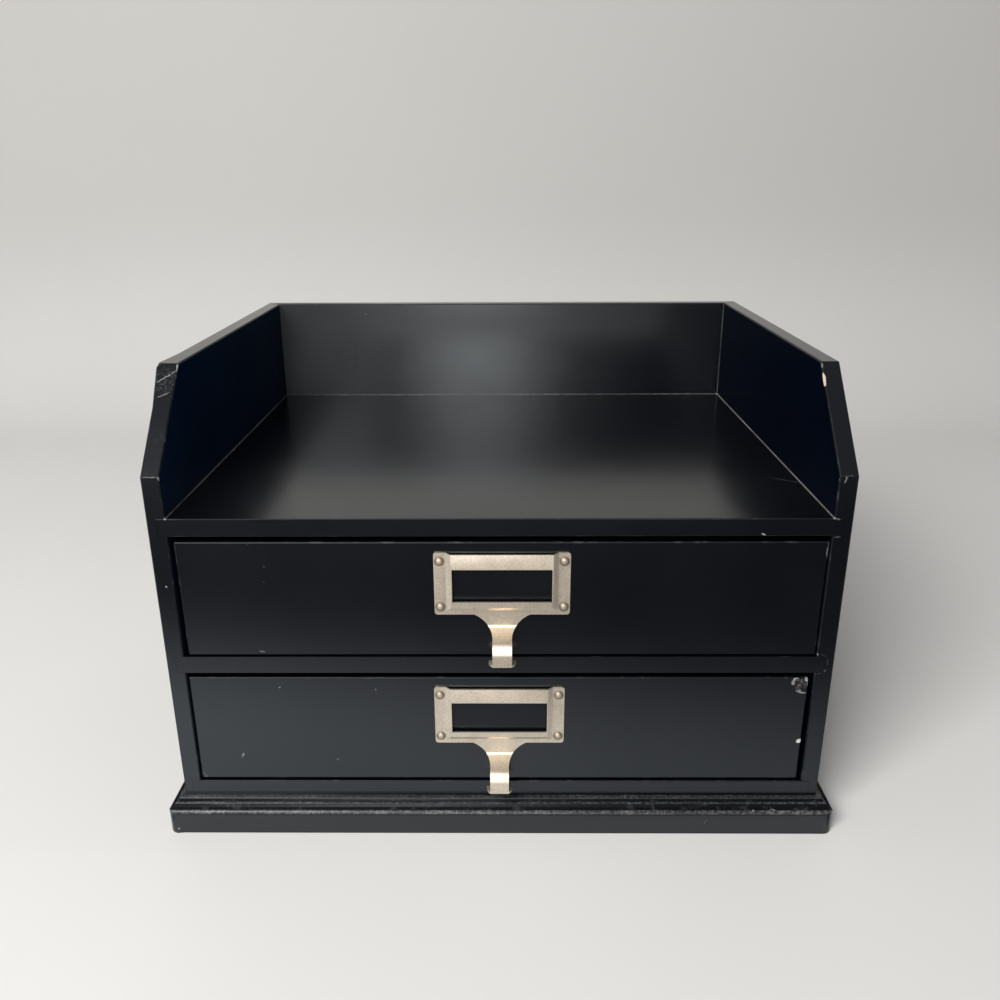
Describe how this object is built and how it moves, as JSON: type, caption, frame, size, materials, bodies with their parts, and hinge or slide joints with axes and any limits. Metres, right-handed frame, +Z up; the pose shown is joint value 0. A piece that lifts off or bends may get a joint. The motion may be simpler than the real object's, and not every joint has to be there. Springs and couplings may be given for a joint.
{
  "type": "desk organizer with drawers",
  "caption": "Black painted desk organizer: an open tray with slanted sides over stacked inset drawers with card-frame pulls, on a moulded base.",
  "frame": {"origin": "bottom centre of the whole part's box, on the surface that it stands on", "axes": "+X to the viewer's right, +Y to the back, +Z up; the drawers open towards -Y"},
  "size_m": [0.346, 0.2724, 0.238],
  "materials": {
    "black_paint": "satin black paint on fibreboard, worn at the edges",
    "drawer_floor": "dark stained hardboard",
    "nickel": "satin nickel plate",
    "steel": "plain zinc plate"
  },
  "bodies": {
    "case": {"base_board": "black_paint", "bottom_panel": "black_paint", "left_side_panel": "black_paint", "right_side_panel": "black_paint", "back_panel": "black_paint", "tray_floor": "black_paint", "divider_panel": "black_paint", "base_screws": "steel", "case_brads": "steel"},
    "upper_drawer": {"upper_drawer_front": "black_paint", "upper_drawer_left_side": "black_paint", "upper_drawer_right_side": "black_paint", "upper_drawer_back": "black_paint", "upper_drawer_floor": "drawer_floor", "upper_drawer_brads": "steel", "upper_pull": "nickel", "upper_pull_pins": "nickel"},
    "lower_drawer": {"lower_drawer_front": "black_paint", "lower_drawer_left_side": "black_paint", "lower_drawer_right_side": "black_paint", "lower_drawer_back": "black_paint", "lower_drawer_floor": "drawer_floor", "lower_drawer_brads": "steel", "lower_pull": "nickel", "lower_pull_pins": "nickel"}
  },
  "joints": [
    {"name": "upper_drawer_slide", "type": "slide", "parent": "case", "child": "upper_drawer", "axis": [0, -1, 0], "range_m": [0, 0.19]},
    {"name": "lower_drawer_slide", "type": "slide", "parent": "case", "child": "lower_drawer", "axis": [0, -1, 0], "range_m": [0, 0.19]}
  ]
}
